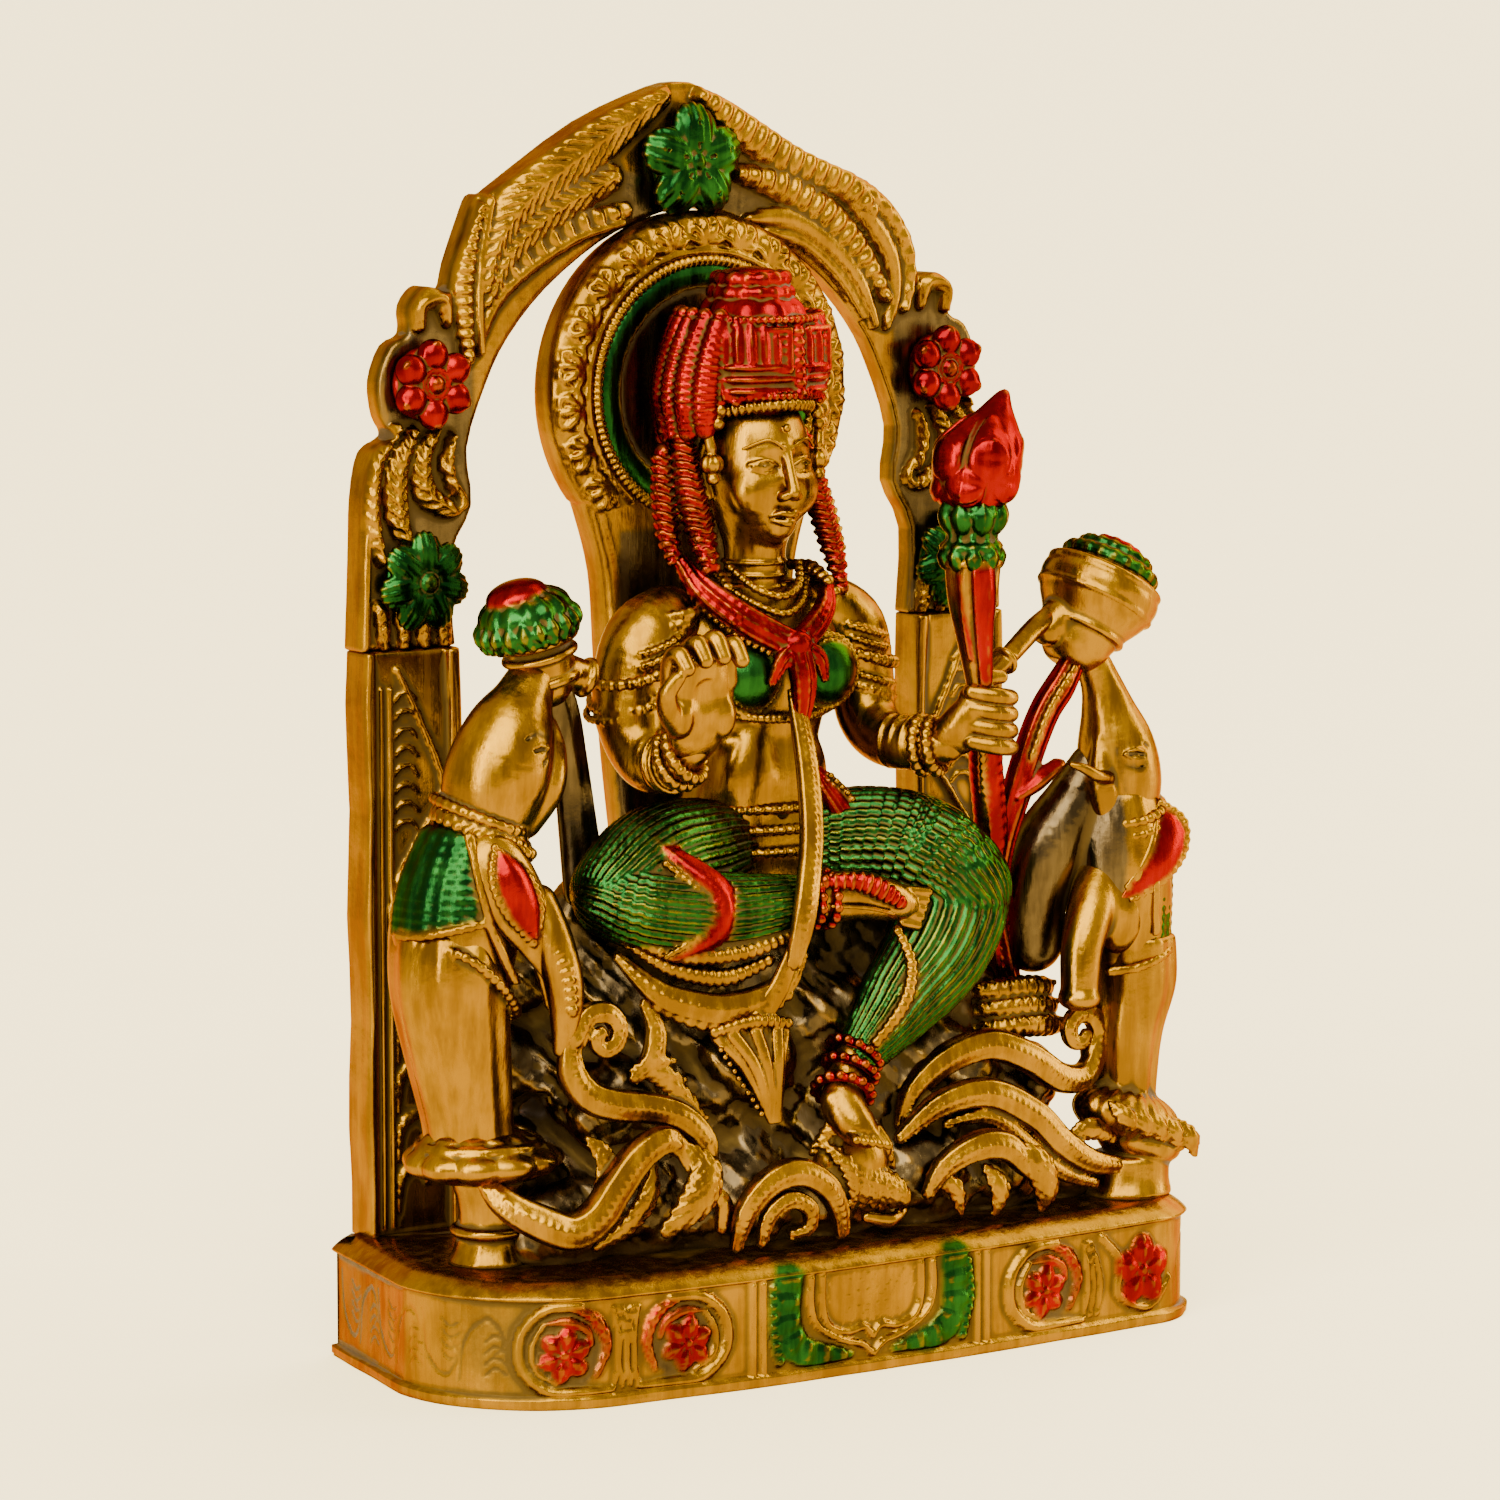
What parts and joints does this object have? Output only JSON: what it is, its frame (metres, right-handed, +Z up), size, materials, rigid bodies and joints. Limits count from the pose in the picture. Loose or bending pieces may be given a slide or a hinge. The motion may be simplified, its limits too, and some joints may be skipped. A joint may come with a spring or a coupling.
{
  "type": "hindu deity statue",
  "caption": "Seated goddess figurine under a leaf arch with halo, two elephants, water pots and a lotus, on a bow-fronted relief base.",
  "frame": {"origin": "middle of the underside of the base, halfway between the back plane and the front of the bow", "axes": "+Z up, the figure faces -Y, +X to the viewer's right"},
  "size_m": [0.1401, 0.058, 0.2],
  "materials": {
    "gold_lacquer": "transparent gold lacquer over cast metal, dark in the recesses",
    "red_lacquer": "transparent red lacquer over cast metal",
    "green_lacquer": "transparent green lacquer over cast metal",
    "dark_patina": "black-brown patina over cast metal"
  },
  "bodies": {
    "root": {"base_plinth": "gold_lacquer", "left_column": "gold_lacquer", "right_column": "gold_lacquer", "arch_crest": "gold_lacquer", "crest_rosette": "green_lacquer", "left_upper_rosette": "red_lacquer", "right_upper_rosette": "red_lacquer", "left_lower_rosette": "green_lacquer", "right_lower_rosette": "green_lacquer", "halo_plate": "gold_lacquer", "halo_bead_ring": "gold_lacquer", "throne": "dark_patina", "torso": "gold_lacquer", "head": "gold_lacquer", "crown": "red_lacquer", "hair_braids": "red_lacquer", "ear_ornaments": "gold_lacquer", "bead_necklace": "gold_lacquer", "red_scarf": "red_lacquer", "waist_belt": "gold_lacquer", "sash": "gold_lacquer", "sash_fan": "gold_lacquer", "garland": "gold_lacquer", "right_arm": "gold_lacquer", "right_hand": "gold_lacquer", "left_arm": "gold_lacquer", "left_hand": "gold_lacquer", "bracelets": "gold_lacquer", "folded_leg": "green_lacquer", "folded_foot": "gold_lacquer", "hanging_leg": "green_lacquer", "hanging_foot": "gold_lacquer", "anklets": "red_lacquer", "lotus_stem": "gold_lacquer", "lotus_calyx": "green_lacquer", "lotus_bud": "red_lacquer", "water_spout": "gold_lacquer", "left_elephant_body": "gold_lacquer", "left_elephant_head": "gold_lacquer", "left_elephant_ear": "gold_lacquer", "left_elephant_leg": "gold_lacquer", "left_elephant_foreleg": "gold_lacquer", "left_elephant_foot": "gold_lacquer", "left_saddle_cloth": "green_lacquer", "left_pot": "gold_lacquer", "left_pot_cap": "green_lacquer", "right_elephant_body": "gold_lacquer", "right_elephant_head": "gold_lacquer", "right_elephant_ear": "gold_lacquer", "right_elephant_leg": "gold_lacquer", "right_elephant_foreleg": "gold_lacquer", "right_saddle_cloth": "green_lacquer", "right_pot": "gold_lacquer", "right_pot_cap": "green_lacquer", "red_stream": "red_lacquer", "left_stream": "dark_patina", "left_scrolls": "gold_lacquer", "right_scrolls": "gold_lacquer", "centre_scroll": "gold_lacquer", "right_cushion": "gold_lacquer"}
  },
  "joints": []
}
